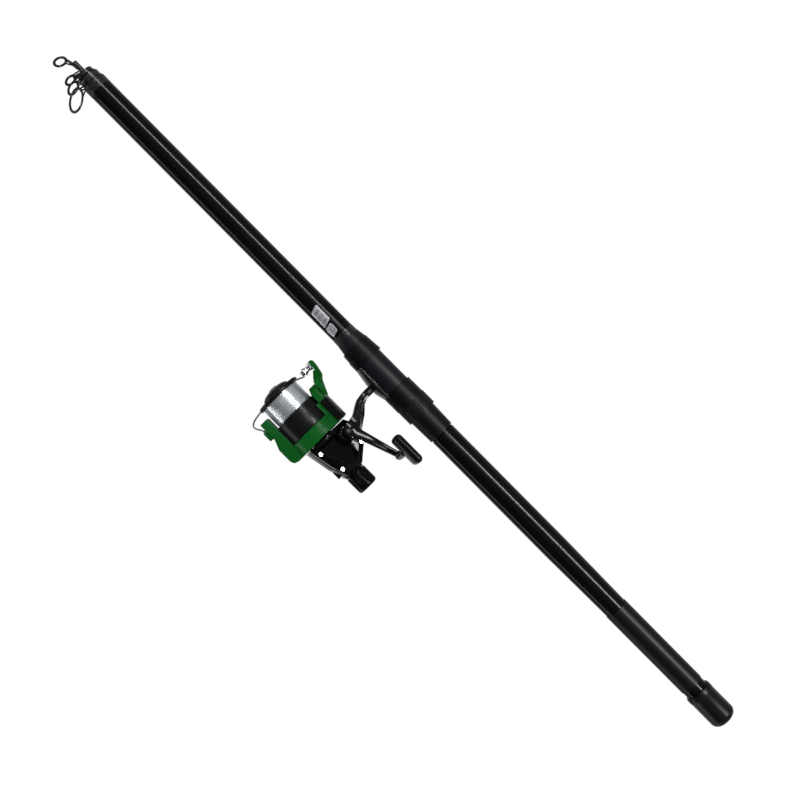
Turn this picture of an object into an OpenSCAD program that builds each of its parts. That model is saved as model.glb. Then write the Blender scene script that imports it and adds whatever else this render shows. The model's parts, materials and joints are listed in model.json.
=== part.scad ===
// Telescopic surf rod, closed, with a rear drag spinning reel on its seat.
// X runs along the rod with the tip at -X, the reel hangs at -Z and its handle is on the -Y side.
// The origin lies on the rod axis inside the straight wall of the butt cap.

/* [Rod] */
// Length of the butt tube
butt_len = 1118; // [1000:1:1300]
// Outer radius of the butt tube in front of the reel seat
front_r = 15.6; // [15.6:0.1:16.2]
// Outer radius of the butt tube at the lower grip
grip_r = 16.6; // [16.2:0.1:16.9]
// Outer radius of the butt tube under the cap and the sleeve
rear_r = 15.1; // [15:0.1:15.6]
// Bore radius at the rear end of the butt tube
bore_rear_r = 14; // [13.9:0.05:14.1]
// Bore radius at the mouth of the butt tube
bore_mouth_r = 13.5; // [13.4:0.05:13.6]
// Length of each joint that stays inside the next larger section when the rod is drawn out
overlap_len = 80; // [60:1:110]
// Radial clearance of a drawn out section in the mouth that grips it
slip_gap = 0.1; // [0.05:0.01:0.2]

/* [Sections] */
// How far section 2 stands out of the butt tube when closed
step_2 = 11; // [11:0.5:16]
// How far section 3 stands out of section 2 when closed
step_3 = 6; // [5:0.5:12]
// How far the tip section stands out of section 3 when closed
step_tip = 17; // [14:0.5:24]
// Outer radius at the top of section 2
top_r_2 = 12.4; // [12.2:0.05:12.6]
// Outer radius at the top of section 3
top_r_3 = 9.6; // [9.2:0.05:10]
// Outer radius at the top of the tip section
top_r_tip = 2.2; // [1.8:0.1:2.8]
// Wall of section 2
wall_2 = 1; // [0.9:0.05:1.1]
// Wall of section 3
wall_3 = 0.9; // [0.8:0.05:1]
// Wall of the tip section
wall_tip = 0.9; // [0.7:0.05:1]
// Height of the whipping that thickens the top of a section
whip_h = 0.7; // [0.5:0.05:0.9]
// Length of that whipping
whip_len = 9; // [8:0.5:10]

/* [Guides] */
// Ring radius of the section 2 guide, to the middle of its wire
ring_r_2 = 15.4; // [14:0.1:15.6]
// Distance of that ring's centre from the rod axis
ring_off_2 = 32; // [31.5:0.5:35]
// Ring radius of the section 3 guide
ring_r_3 = 9.2; // [8:0.1:10]
// Distance of that ring's centre from the rod axis
ring_off_3 = 24; // [23:0.5:26]
// Ring radius of the floating guide
ring_r_float = 7.2; // [6.8:0.1:7.6]
// Distance of that ring's centre from the rod axis
ring_off_float = 19.6; // [18.6:0.2:21]
// Ring radius of the tip guide
ring_r_tip = 8.2; // [7:0.1:8.6]
// Distance of that ring's centre from the rod axis
ring_off_tip = 12.2; // [12:0.2:16]
// Wire radius of the guide frames
wire_r = 1.25; // [0.9:0.05:1.3]
// Lean of the section 2 ring towards the butt
lean_2 = 26; // [15:1:30]
// Lean of the section 3 ring towards the butt
lean_3 = 12; // [5:1:20]
// Lean of the tip guide's ring towards the tip
lean_tip = 20; // [10:1:25]
// Turn of every ring about the line from the rod to its centre
ring_twist = -14; // [-20:1:20]
// Turn of the rings about the rod
ring_roll = -8; // [-60:1:60]

/* [Butt] */
// Outer radius of the butt cap
cap_r = 17.4; // [17.3:0.1:19]
// Length of the butt cap
cap_len = 52; // [46:1:70]
// Thickness of the cap's closed end
cap_floor = 6; // [4:0.5:9]
// Radius of the rounded rim of the cap
cap_round = 9; // [4:0.5:10]
// Start of the grip sleeve from the butt end
sleeve_start = 62; // [60:1:80]
// Length of the grip sleeve
sleeve_len = 134; // [100:1:180]
// Thickness of the grip sleeve
sleeve_wall = 0.7; // [0.5:0.1:1.2]
// Length of the threaded butt plug
plug_len = 18; // [14:1:20]
// Thickness of the rattle pad on the plug
pad_len = 6; // [4:0.5:8]

/* [Reel seat] */
// Distance from the butt end to the rear end of the seat tube
seat_start = 516; // [505:1:525]
// Length of the seat tube
seat_len = 156; // [150:1:170]
// Outer radius of the seat tube where the reel foot sits
seat_r = 18.1; // [17.9:0.1:18.4]
// Outer radius of the seat's thread
thread_r = 17; // [16.9:0.05:17.2]
// How far the sliding hood covers the end of the reel foot
hood_grip = 9; // [7:0.5:12]
// Length of the seat nut's ring
nut_len = 21; // [16:0.5:24]
// Outer radius of the seat nut and of the hoods at their widest
nut_r = 20.9; // [20.6:0.1:21.6]
// Length of the tapered skirt behind the nut
nut_skirt_len = 34; // [24:1:36]
// Length of the sliding hood
hood_len = 24; // [20:0.5:28]
// Length of the fixed hood
fixed_hood_len = 25; // [20:0.5:30]
// Length of the reel foot
foot_len = 72; // [70:1:74]
// Width of the reel foot
foot_w = 18; // [14:0.5:19]
// Thickness of the foot at its ends
foot_tip_t = 1.8; // [1.4:0.1:2.1]

/* [Reel] */
// Distance from the rear end of the reel foot to the handle's axis
foot_back = 12; // [10:0.5:14]
// Distance from the rod axis down to the reel's main shaft
reel_drop = 115; // [112:1:120]
// Height of the handle's axis above the main shaft
crank_h = 17; // [16:0.5:18]
// Width of the reel body without its side cover's boss
body_w = 40; // [38:1:44]
// Wall of the reel body and the side cover
body_wall = 2.2; // [1.8:0.1:2.6]
// Length of the handle arm between its two axes
crank_len = 66; // [60:0.5:70]
// Angle of the handle arm above the line pointing to the butt
crank_angle = 18; // [16:1:40]
// Distance from the shaft plane to the handle arm
arm_v = 60; // [59.5:0.5:62]
// Length of the handle knob's bar
knob_len = 42; // [34:1:48]
// Teeth of the drive gear
drive_teeth = 45; // [40:5:50]
// Teeth of the pinion
pinion_teeth = 9; // [8:1:10]
// Travel of the spool
spool_stroke = 12; // [8:0.5:13]

/* [Rotor and bail] */
// Outer radius of the rotor's band
band_r = 33; // [32:0.2:33.6]
// Outer radius of the rotor's arms
arm_r = 46; // [44:0.5:47]
// Inner radius of the rotor's arms
arm_in_r = 31.2; // [31:0.1:31.6]
// Width of the rotor's arms
arm_w = 22; // [18:1:25]
// Distance of the bail's pivot in front of the handle's axis
bail_u = 65; // [64:0.5:66]
// Turn of the bail about its pivot from straight forward, when closed
bail_set = 55; // [53:1:58]
// Turn of the rotor at rest, upper arm leaning to the handle side
rotor_set = 18; // [0:1:30]
// Wire radius of the bail
bail_wire_r = 1.1; // [0.9:0.05:1.3]
// Radius of the line roller
roller_r = 5.6; // [4.5:0.1:5.8]

/* [Spool and drag] */
// Radius of the spool's front lip
lip_r = 30.6; // [29.6:0.1:31]
// Outer radius of the spool's skirt
skirt_r = 30; // [29.6:0.1:30.2]
// Wall of the spool's skirt
skirt_wall = 1.8; // [1.4:0.1:2]
// Radius of the spool's core under the line
core_r = 17; // [16.5:0.5:20]
// Radius of the wound line
line_r = 26.9; // [24:0.1:29]
// Radius of the main shaft
shaft_r = 2.5; // [2.3:0.05:2.6]
// Radius of the rear drag knob
knob_r = 13.75; // [13.5:0.05:15]
// Length of the rear drag knob
drag_knob_len = 24; // [20:0.5:28]

/* [Hidden] */
$fn = 96;
nose = 24;           // butt end beyond the origin
fit = 0.05;          // running or bonded fit
gap = 0.3;           // plain clearance
sharp_fn = 32;       // facets of small rounded forms

// Stations along the rod, measured from the butt end
tube_end = cap_floor + butt_len;
pad_start = cap_floor + plug_len;
base_d = pad_start + pad_len;
end_2 = tube_end + step_2;
end_3 = end_2 + step_3;
end_tip = end_3 + step_tip;
len_2 = end_2 - base_d;
len_3 = end_3 - base_d;
len_tip = end_tip - base_d;
seat_end = seat_start + seat_len;
seat_nose = 12;      // taper at the front end of the seat
fixed_hood_start = seat_end - fixed_hood_len - seat_nose;
foot_front = fixed_hood_start + 13;
foot_rear = foot_front - foot_len;
hood_end = foot_rear + hood_grip;
hood_start = hood_end - hood_len;
nut_start = hood_start - nut_len;
reel_d = foot_rear + foot_back;

// Radii of the nested sections: each base is gripped where it stops in the next bore
function along(a, b, t) = a + (b - a) * t;
base_r_2 = along(bore_rear_r, bore_mouth_r, 1 - overlap_len / butt_len) - slip_gap;
bore_2 = [base_r_2 - wall_2, top_r_2 - wall_2];
base_r_3 = along(bore_2[0], bore_2[1], 1 - overlap_len / len_2) - slip_gap;
bore_3 = [base_r_3 - wall_3, top_r_3 - wall_3];
base_r_tip = along(bore_3[0], bore_3[1], 1 - overlap_len / len_3) - slip_gap;

// Outer line of the butt tube, as points of radius and station
grip_from = 300;     // where the lower grip has its full radius
grip_to = 504;       // where it ends, behind the seat
tube_line = [[rear_r, cap_floor], [rear_r, sleeve_start], [rear_r + 0.2, sleeve_start + sleeve_len],
    [grip_r, grip_from], [grip_r, grip_to], [front_r, grip_to + 1], [front_r, tube_end - 1],
    [front_r - 1, tube_end]];

// Puts its children on the rod axis at a station: local z points to the tip and local x up
module on_rod(d) { translate([nose - d, 0, 0]) rotate([0, -90, 0]) children(); }

// Round bar between two points
module bar(p, q, r) {
    v = q - p;
    translate(p) rotate([0, acos(v[2] / norm(v)), atan2(v[1], v[0])])
        cylinder(r = r, h = norm(v), $fn = sharp_fn);
}

// Tube with a wall between two radii
module pipe(r_out, r_in, h) {
    difference() {
        cylinder(r = r_out, h = h);
        translate([0, 0, -1]) cylinder(r = r_in, h = h + 2);
    }
}

// Ring of round wire
module wire_ring(ring_r, r) { rotate_extrude() translate([ring_r, 0]) circle(r, $fn = sharp_fn); }

// ---- Rod, fixed pieces ----

module butt_tube() {
    color("#16161a") on_rod(0) rotate_extrude() polygon(concat(tube_line,
        [[bore_mouth_r, tube_end], [bore_rear_r, cap_floor]]));
}

module butt_sleeve() {
    r0 = rear_r + fit;
    r1 = rear_r + 0.2 + fit;
    color("#222225") on_rod(sleeve_start) difference() {
        cylinder(r1 = r0 + sleeve_wall, r2 = r1 + sleeve_wall, h = sleeve_len);
        translate([0, 0, -0.01]) cylinder(r1 = r0, r2 = r1, h = sleeve_len + 0.02);
    }
}

module butt_cap() {
    mouth_r = cap_r + 0.4;
    color("#1b1b1c") on_rod(0) difference() {
        rotate_extrude() {
            translate([0, cap_round]) square([cap_r, cap_len - cap_round - 8]);
            square([cap_r - cap_round, cap_len - 8]);
            intersection() {
                translate([cap_r - cap_round, cap_round]) circle(cap_round);
                square([cap_r, cap_len]);
            }
            polygon([[0, cap_len - 8], [mouth_r, cap_len - 8], [mouth_r, cap_len - 2], [mouth_r - 1, cap_len],
                [0, cap_len]]);
        }
        translate([0, 0, cap_floor]) cylinder(r = rear_r + fit, h = cap_len);
    }
}

module butt_plug() {
    groove = 0.4;
    color("#8d9096") on_rod(cap_floor) difference() {
        cylinder(r = bore_rear_r - 0.1, h = plug_len);
        for (k = [1 : floor(plug_len / 3) - 1])
            translate([0, 0, 3 * k]) pipe(bore_rear_r, bore_rear_r - 0.1 - groove, 1);
    }
}

module rattle_pad() { color("#303032") on_rod(pad_start) cylinder(r = bore_rear_r - gap, h = pad_len); }

// ---- Reel seat ----

module seat_tube() {
    thread_len = hood_end - 16 - seat_start;
    color("#232427") on_rod(seat_start) difference() {
        union() {
            cylinder(r = thread_r - 0.4, h = thread_len);
            for (k = [0 : floor(thread_len / 4) - 1])
                translate([0, 0, 4 * k + 1]) cylinder(r = thread_r, h = 2.4);
            translate([0, 0, thread_len]) cylinder(r = seat_r, h = seat_len - seat_nose - thread_len);
            translate([0, 0, seat_len - seat_nose]) cylinder(r1 = seat_r, r2 = front_r + 0.7, h = seat_nose);
        }
        translate([0, 0, -1]) cylinder(r = front_r + fit, h = seat_len + 2);
    }
}

// A hood with its mouth at the upper end: a round shell set a little towards the foot, with a pocket
module hood(len, r_back, r_mouth, depth) {
    drop = 0.7;
    difference() {
        translate([-drop, 0, 0]) cylinder(r1 = r_back, r2 = r_mouth, h = len);
        translate([0, 0, -1]) cylinder(r = seat_r + fit, h = len + 2);
        translate([-(seat_r + foot_tip_t + 2 * gap), -foot_w / 2 - gap, len - depth])
            cube([seat_r, foot_w + 2 * gap, depth + 1]);
    }
}

module seat_fixed_hood() {
    color("#1d1e20") on_rod(fixed_hood_start + fixed_hood_len) mirror([0, 0, 1])
        hood(fixed_hood_len, seat_r + 1.2, nut_r + 0.3, 14);
}

module seat_sliding_hood() {
    color("#1d1e20") on_rod(hood_start) hood(hood_len, nut_r, nut_r - 0.3, hood_grip + 1);
}

module seat_nut() {
    ribs = 30;
    color("#232428") on_rod(nut_start) difference() {
        union() {
            difference() {
                cylinder(r = nut_r, h = nut_len - 0.1);
                for (k = [0 : ribs - 1]) rotate([0, 0, 360 / ribs * k])
                    translate([nut_r + 0.15, 0, 3]) cylinder(r = 0.5, h = nut_len - 6, $fn = 16);
            }
            translate([0, 0, -nut_skirt_len])
                cylinder(r1 = thread_r + 0.6, r2 = seat_r + 0.4, h = nut_skirt_len);
        }
        translate([0, 0, -nut_skirt_len - 1]) cylinder(r = thread_r + fit, h = nut_skirt_len + nut_len + 2);
    }
}

// ---- Sections ----

// A hollow tapered joint, its base on the rattle pad, with a whipping round its top
module joint_tube(len, r_base, r_top, bores, whip) {
    difference() {
        union() {
            cylinder(r1 = r_base, r2 = r_top, h = len);
            if (whip) translate([0, 0, len - whip_len]) cylinder(r = r_top + whip_h, h = whip_len - 1);
        }
        translate([0, 0, -0.01]) cylinder(r1 = bores[0], r2 = bores[1], h = len + 0.02);
    }
}

module section_2() { color("#18181c") on_rod(base_d) joint_tube(len_2, base_r_2, top_r_2, bore_2, true); }

module section_3() { color("#18181c") on_rod(base_d) joint_tube(len_3, base_r_3, top_r_3, bore_3, true); }

module tip_section() {
    solid_tip = 200;
    bore_len = len_tip - solid_tip;
    r_end = along(base_r_tip, top_r_tip, bore_len / len_tip) - wall_tip;
    color("#18181c") on_rod(base_d) difference() {
        cylinder(r1 = base_r_tip, r2 = top_r_tip, h = len_tip);
        translate([0, 0, -0.01]) cylinder(r1 = base_r_tip - wall_tip, r2 = r_end, h = bore_len);
    }
}

// ---- Line guides ----

insert_r = 0.6;                       // round section of the bright rings
float_d = end_3 + 1;                  // rear end of the floating guide's sleeve
float_r = along(base_r_tip, top_r_tip, (float_d - base_d) / len_tip);
tip_sleeve_len = 12;

// Each guide: station, radius, length and wall of its sleeve, then radius, offset, shift and lean of its ring
guide_2 = [tube_end + gap, top_r_2 + whip_h, 8, 1, ring_r_2, ring_off_2, -3, lean_2];
guide_3 = [end_2 + gap, top_r_3 + whip_h, 5, 1, ring_r_3, ring_off_3, 0, lean_3];
guide_float = [float_d, float_r, 5, 1, ring_r_float, ring_off_float, 3, 0];
guide_tip = [end_tip - tip_sleeve_len + 1, top_r_tip + 0.3, tip_sleeve_len, 0.9, ring_r_tip, ring_off_tip,
    24, -lean_tip];

// Puts its children at a guide's ring centre, with local z along the ring's axis
module at_ring(guide) {
    on_rod(guide[0]) rotate([0, 0, ring_roll]) translate([-guide[5], 0, guide[6]])
        rotate([0, -guide[7], 0]) rotate([ring_twist, 0, 0]) children();
}

// Point on a guide's ring at an angle from its side next to the rod, in the frame of the guide's legs
function ring_point(guide, a) = let (r = guide[4], x = r * cos(a), q = r * sin(a) * sin(ring_twist))
    [x * cos(guide[7]) - q * sin(guide[7]) - guide[5], r * sin(a) * cos(ring_twist),
        x * sin(guide[7]) + q * cos(guide[7]) + guide[6]];

// A guide's frame: a sleeve on its section and four legs out to the ring
module guide_frame(guide) {
    foot_r = guide[1];
    foot_len = guide[2];
    start_r = foot_r + guide[3] * 0.6;
    on_rod(guide[0]) difference() {
        union() {
            cylinder(r = foot_r + guide[3], h = foot_len);
            rotate([0, 0, ring_roll]) for (m = [-1, 1], leg = [[55, 0.7, 50], [18, 0.25, 10]])
                bar([-start_r * cos(leg[0]), m * start_r * sin(leg[0]), foot_len * leg[1]],
                    ring_point(guide, m * leg[2]), 0.8 * wire_r);
        }
        translate([0, 0, -foot_len]) cylinder(r = foot_r + fit, h = 3 * foot_len);
    }
    at_ring(guide) wire_ring(guide[4], wire_r);
}

// The bright ring inside a guide's frame
module guide_insert(guide) { at_ring(guide) wire_ring(guide[4] - wire_r - insert_r - 0.02, insert_r); }

module guide_2_frame() { color("#202024") guide_frame(guide_2); }
module guide_2_ring() { color("#c8ccd2") guide_insert(guide_2); }
module guide_3_frame() { color("#202024") guide_frame(guide_3); }
module guide_3_ring() { color("#c8ccd2") guide_insert(guide_3); }
module float_guide_frame() { color("#202024") guide_frame(guide_float); }
module float_guide_ring() { color("#c8ccd2") guide_insert(guide_float); }
module tip_guide_frame() { color("#202024") guide_frame(guide_tip); }
module tip_guide_ring() { color("#c8ccd2") guide_insert(guide_tip); }

// ---- Reel: frames of reference ----
// In the reel's frame x (u) points to the tip, y (v) to the handle and z up to the rod.
// The main shaft is its x axis.

module at_reel() { translate([nose - reel_d, 0, -reel_drop]) rotate([0, 0, 180]) children(); }

// Puts its children on the main shaft at u, with local z to the tip
module on_shaft(u) { at_reel() translate([u, 0, 0]) rotate([0, 90, 0]) children(); }

// Puts its children on the handle's axis at v, with local z to the handle side
module on_crank(v) { at_reel() translate([0, v, crank_h]) rotate([-90, 0, 0]) children(); }

// The rotor's frame: the reel's frame turned with the rotor at rest
module at_rotor() { at_reel() rotate([-rotor_set, 0, 0]) children(); }

body_front = 16;     // front face of the body
body_rear = -40.5;   // rear face of the body, at the drag knob
rear_r_body = 13.4;  // radius of the round drag housing
split_v = 9;         // plane between the body and its side cover
neck_r = 13.5;       // tube in front of the body that holds the pinion's bearing
neck_len = 15;
bearing_w = 5;
bearing_r = 9.5;
pinion_tube_r = 4.6;
crank_r = 4;         // radius of the drive gear's shaft
boss_v = 37;         // outer end of the side cover's boss
far_v = -23;         // outer end of the boss on the far side
drag_neck_r = 10.4;  // tube behind the body on which the drag knob turns
drag_neck_len = 13.5;
drag_bore_r = 7.5;   // bore of that tube, for the drag spring and its plunger

// Outline of the body in its middle plane, and of its flat sides
function body_line(inset) = [[body_front - 1.4 * inset, 33 - inset], [6 - inset / 2, 38 - inset],
    [-10, 39.5 - inset], [-23 + inset * 0.6, 30 - inset * 0.8], [-38 + inset, 12 - inset * 0.5],
    [-38 + inset, -12 + inset * 0.5], [-16, -19 + inset], [3 - inset / 2, -22.5 + inset],
    [body_front - 1.4 * inset, -25 + inset]];

// The body's solid form, with creases between its middle and its sides, at a distance inside its skin
module body_form(inset) {
    half = body_w / 2 - inset;
    hull() {
        rotate([90, 0, 0]) linear_extrude(2 * (half - 7), center = true) polygon(body_line(inset));
        rotate([90, 0, 0]) linear_extrude(2 * half, center = true) polygon(body_line(inset + 7));
    }
}

// Stem from the foot down to the body
module stem() {
    top_z = reel_drop - seat_r;
    rotate([90, 0, 0]) linear_extrude(11, center = true)
        polygon([[23.2, top_z], [23.2, 76.6], [21.4, 66], [17, 58], [11.5, 49], [9, 36], [-12, 36],
            [-9.2, 43], [2, 59.5], [10.7, 68.7], [13.4, 76.6], [13.4, top_z]]);
}

// Foot under the seat, hollowed to the seat's round
module foot() {
    low = reel_drop - seat_r - fit - foot_tip_t;
    root = low - 3.4;
    u_rear = foot_rear - reel_d;
    u_front = foot_front - reel_d;
    difference() {
        rotate([90, 0, 0]) linear_extrude(foot_w, center = true)
            polygon([[u_rear, low + 4], [u_rear, low], [hood_end - reel_d, low], [10, root], [26, root],
                [fixed_hood_start - reel_d, low], [u_front, low], [u_front, low + 4]]);
        translate([u_rear - 1, 0, reel_drop]) rotate([0, 90, 0]) cylinder(r = seat_r + fit, h = foot_len + 2);
    }
}

// Outside of the body: creased form, round drag housing, front flange, neck and bosses of the drive shaft
module body_outside() {
    body_form(0);
    translate([body_rear, 0, 0]) rotate([0, 90, 0]) cylinder(r = rear_r_body, h = 30);
    translate([body_rear - drag_neck_len, 0, 0]) rotate([0, 90, 0])
        cylinder(r = drag_neck_r, h = drag_neck_len + 1);
    translate([body_front - 6, 0, 0]) rotate([0, 90, 0]) cylinder(r = 24.6, h = 6);
    translate([body_front, 0, 0]) rotate([0, 90, 0]) cylinder(r = neck_r, h = neck_len);
    translate([0, 0, crank_h]) rotate([-90, 0, 0]) cylinder(r1 = 15, r2 = 9, h = boss_v);
    translate([0, far_v, crank_h]) rotate([-90, 0, 0]) cylinder(r1 = 9, r2 = 13, h = -far_v);
}

// Space inside the body and the holes through its walls
module body_inside() {
    body_form(body_wall);
    translate([body_rear + body_wall, 0, 0]) rotate([0, 90, 0]) cylinder(r = rear_r_body - body_wall, h = 30);
    translate([body_rear - 15, 0, 0]) rotate([0, 90, 0]) cylinder(r = drag_bore_r, h = 20);
    rotate([0, 90, 0]) cylinder(r = 7.5, h = body_front + neck_len + 1);
    translate([body_front + neck_len - bearing_w, 0, 0]) rotate([0, 90, 0])
        cylinder(r = bearing_r + fit, h = bearing_w + 1);
    translate([0, 0, crank_h]) rotate([-90, 0, 0]) cylinder(r = crank_r + gap, h = boss_v + 1);
    translate([0, boss_v - bearing_w, crank_h]) rotate([-90, 0, 0]) cylinder(r = 7 + fit, h = bearing_w + 1);
    translate([0, far_v - 1, crank_h]) rotate([-90, 0, 0]) cylinder(r = crank_r + gap, h = 20);
    translate([0, far_v - 1, crank_h]) rotate([-90, 0, 0]) cylinder(r = 7 + fit, h = bearing_w + 1);
}

screw_at = [[4, -18.5], [-27, -12], [-19, 28.5]];   // places of the cover's screws, as u and height
post_at = [-14, 2];  // axis of the oscillation gear, as u and height
post_r = 2.5;
osc_v = 8;           // face of the oscillation gear towards the slider
osc_w = 3;
rail_z = -9.5;       // height of the slider's guide rail
rail_r = 1.5;
rail_u = [-30, 8];   // its two ends
lever_at = [-14, -15.5];   // axis of the anti-reverse cam rod, as v and height
lever_r = 1.6;
pawl_at = [-18.5, -2];     // pivot of the pawl in front of the body, as v and height

// Space taken by the side cover: beyond the split, outside the drag housing and the front flange
module cover_zone(clear) {
    difference() {
        translate([-60, split_v, -60]) cube([60 + body_front, 80, 120]);
        translate([-60, 0, 0]) rotate([0, 90, 0]) cylinder(r = rear_r_body + clear, h = 34);
        translate([body_front - 6 - clear, 0, 0]) rotate([0, 90, 0]) cylinder(r = 24.6 + clear, h = 10);
    }
}

module reel_body() {
    color("#17171a") at_reel() difference() {
        union() {
            difference() {
                body_outside();
                body_inside();
                cover_zone(fit);
            }
            difference() {
                union() {
                    stem();
                    for (p = screw_at) translate([p[0], split_v - 4.5, p[1]]) rotate([-90, 0, 0])
                        cylinder(r = 2.6, h = 4.5);
                }
                difference() {
                    body_form(body_wall);
                    for (p = screw_at) translate([p[0], 0, p[1]]) rotate([-90, 0, 0])
                        cylinder(r = 4, h = split_v + 1);
                }
            }
            foot();
            translate([rail_u[0] - 1, -3, -14]) cube([2.4, 6, 7]);
            translate([rail_u[1] - 2, -3, -22.5]) cube([2.4, 6, 15.5]);
            translate([body_front - 1, pawl_at[0], pawl_at[1]]) rotate([0, 90, 0]) cylinder(r = 1.5, h = 20);
        }
        for (p = screw_at) translate([p[0], 0, p[1]]) rotate([-90, 0, 0]) cylinder(r = 1.25, h = 20);
        translate([rail_u[0], 0, rail_z]) rotate([0, 90, 0])
            cylinder(r = rail_r + fit, h = rail_u[1] - rail_u[0]);
        translate([-33, lever_at[0], lever_at[1]]) rotate([0, 90, 0]) cylinder(r = lever_r + fit, h = 60);
    }
}

module side_cover() {
    wall_v = body_w / 2 - 2;
    color("#1a1a1d") at_reel() difference() {
        union() {
            intersection() {
                difference() {
                    body_outside();
                    body_inside();
                }
                cover_zone(2 * fit);
            }
            // Post of the oscillation gear
            translate([post_at[0], wall_v, post_at[1]]) rotate([90, 0, 0]) {
                cylinder(r = post_r, h = wall_v - osc_v - fit);
                cylinder(r = post_r + 2, h = wall_v - osc_v - osc_w - 0.1);
            }
        }
        for (p = screw_at) {
            translate([p[0], 0, p[1]]) rotate([-90, 0, 0]) cylinder(r = 1.4, h = 30);
            translate([p[0], 15, p[1]]) rotate([-90, 0, 0]) cylinder(r = 2.7, h = 10);
        }
    }
}

module cover_screws() {
    color("#b9bcc2") at_reel() for (p = screw_at)
        translate([p[0], 0, p[1]]) rotate([-90, 0, 0]) difference() {
            union() {
                translate([0, 0, 5.5]) cylinder(r = 1.2, h = 10);
                translate([0, 0, 15]) cylinder(r = 2.5, h = 1.6);
            }
            for (a = [0, 90]) rotate([0, 0, a]) translate([-1.6, -0.35, 15.8]) cube([3.2, 0.7, 2]);
        }
}

// A ball bearing: two races, joined by a thin ring in place of the balls
module bearing(r_out, r_in, w) {
    mid = (r_out + r_in) / 2;
    ball = (r_out - r_in) * 0.24;
    pipe(r_out, mid + ball * 0.6, w);
    pipe(mid - ball * 0.6, r_in, w);
    translate([0, 0, w / 2 - 0.5]) pipe(mid + ball, mid - ball, 1);
}

module drive_bearings() {
    color("#c4c7cc") {
        on_crank(boss_v - bearing_w) bearing(7, crank_r + fit, bearing_w);
        on_crank(far_v) bearing(7, crank_r + fit, bearing_w);
    }
}

module pinion_bearing() {
    color("#c4c7cc") on_shaft(body_front + neck_len - bearing_w)
        bearing(bearing_r, pinion_tube_r + fit, bearing_w);
}

module guide_rail() {
    color("#b0b3b8") on_shaft(rail_u[0]) translate([-rail_z, 0, 0])
        cylinder(r = rail_r, h = rail_u[1] - rail_u[0]);
}

// ---- Reel: drive train ----

gear_r = 12.4;       // outer radius of the drive gear
gear_v = 9;          // depth of its back face on the far side of the main shaft
pinion_r = 5.4;      // outer radius of the pinion's teeth
tooth_gap = 0.4;
pinion_u = [0, 12];  // ends of the pinion's teeth
spindle_r = 2.5;     // spindle of the handle, through the drive gear's hollow shaft
osc_r = 12;          // outer radius of the oscillation gear
osc_drive_r = 8;     // outer radius of the small gear on the shaft that turns it

// Spur gear outline: a disc with a ring of trapezoid teeth
module spur(r, teeth, depth) {
    pitch_w = 2 * PI * r / teeth;
    circle(r - depth);
    root = r - depth - 0.3;
    for (k = [0 : teeth - 1]) rotate(360 / teeth * k)
        polygon([[root, -pitch_w * 0.3], [r, -pitch_w * 0.17], [r, pitch_w * 0.17], [root, pitch_w * 0.3]]);
}

module drive_gear() {
    tip_v = sqrt(pow(pinion_r, 2) - pow(crank_h - gear_r, 2)) + tooth_gap;
    tooth_h = 1.5;
    color("#9b9ea5") on_crank(0) difference() {
        union() {
            translate([0, 0, far_v + 0.5]) cylinder(r = crank_r, h = boss_v - far_v - 0.5);
            translate([0, 0, -gear_v]) cylinder(r = gear_r, h = gear_v - tip_v - tooth_h);
            translate([0, 0, -tip_v - tooth_h - 0.1]) for (k = [0 : drive_teeth - 1])
                rotate([0, 0, 360 / drive_teeth * k]) translate([gear_r - 4, -0.5, 0])
                    cube([3.9, 1, tooth_h + 0.1]);
            translate([0, 0, osc_v]) linear_extrude(osc_w) spur(osc_drive_r, 16, 1.2);
        }
        translate([0, 0, far_v - 1]) cylinder(r = spindle_r + fit, h = boss_v - far_v + 3);
    }
}

module osc_gear() {
    pin_r = spool_stroke / 2;
    color("#9b9ea5") at_reel() translate([post_at[0], osc_v, post_at[1]]) rotate([-90, 0, 0]) {
        linear_extrude(osc_w) difference() {
            spur(osc_r, 24, 1.2);
            circle(post_r + fit);
        }
        translate([-pin_r, 0, -0.6]) cylinder(r = 1.2, h = 0.7);
    }
}

// Block on the rear of the main shaft, slotted for the oscillation gear's pin and guided by the rail
slider_v = [-4, 7];
module osc_slider() {
    u0 = post_at[0] - spool_stroke / 2 - 4;
    color("#d0d0cc") at_reel() difference() {
        union() {
            translate([u0, slider_v[0], -12]) cube([8, slider_v[1] - slider_v[0], 16]);
            translate([u0, slider_v[1] - 4, -12]) cube([8, 4, 22]);
        }
        translate([u0 - 1, 0, 0]) rotate([0, 90, 0]) cylinder(r = shaft_r + fit, h = 10);
        translate([u0 - 1, 0, rail_z]) rotate([0, 90, 0]) cylinder(r = rail_r + 2 * fit, h = 10);
        translate([u0 + 2, slider_v[1] - 2, -6]) cube([4, 3, 15]);
    }
}

module handle_arm() {
    web = crank_len - 4;
    color("#17171a") on_crank(0) difference() {
        union() {
            translate([0, 0, far_v + 1]) cylinder(r = spindle_r, h = arm_v - far_v);
            translate([0, 0, boss_v + 0.5]) cylinder(r1 = 7, r2 = 8, h = arm_v - boss_v);
            translate([0, 0, arm_v]) cylinder(r = 8, h = 5);
            rotate([0, 0, 180 + crank_angle]) {
                translate([0, 0, arm_v]) linear_extrude(4.6)
                    polygon([[2, -6], [web, -3.4], [web, 3.4], [2, 6]]);
                translate([crank_len, 0, arm_v - 0.8]) cylinder(r = 5, h = 6);
            }
        }
        rotate([0, 0, 180 + crank_angle]) translate([crank_len, 0, arm_v - 2])
            cylinder(r = pin_r_knob + fit, h = 10);
    }
}

module handle_cap() {
    color("#1c1c1f") on_crank(far_v - 7) difference() {
        union() {
            cylinder(r1 = 7, r2 = 8.2, h = 1.5);
            translate([0, 0, 1.5]) cylinder(r = 8.2, h = 5.2);
        }
        translate([0, 0, 5]) cylinder(r = spindle_r + fit, h = 5);
    }
}

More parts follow.
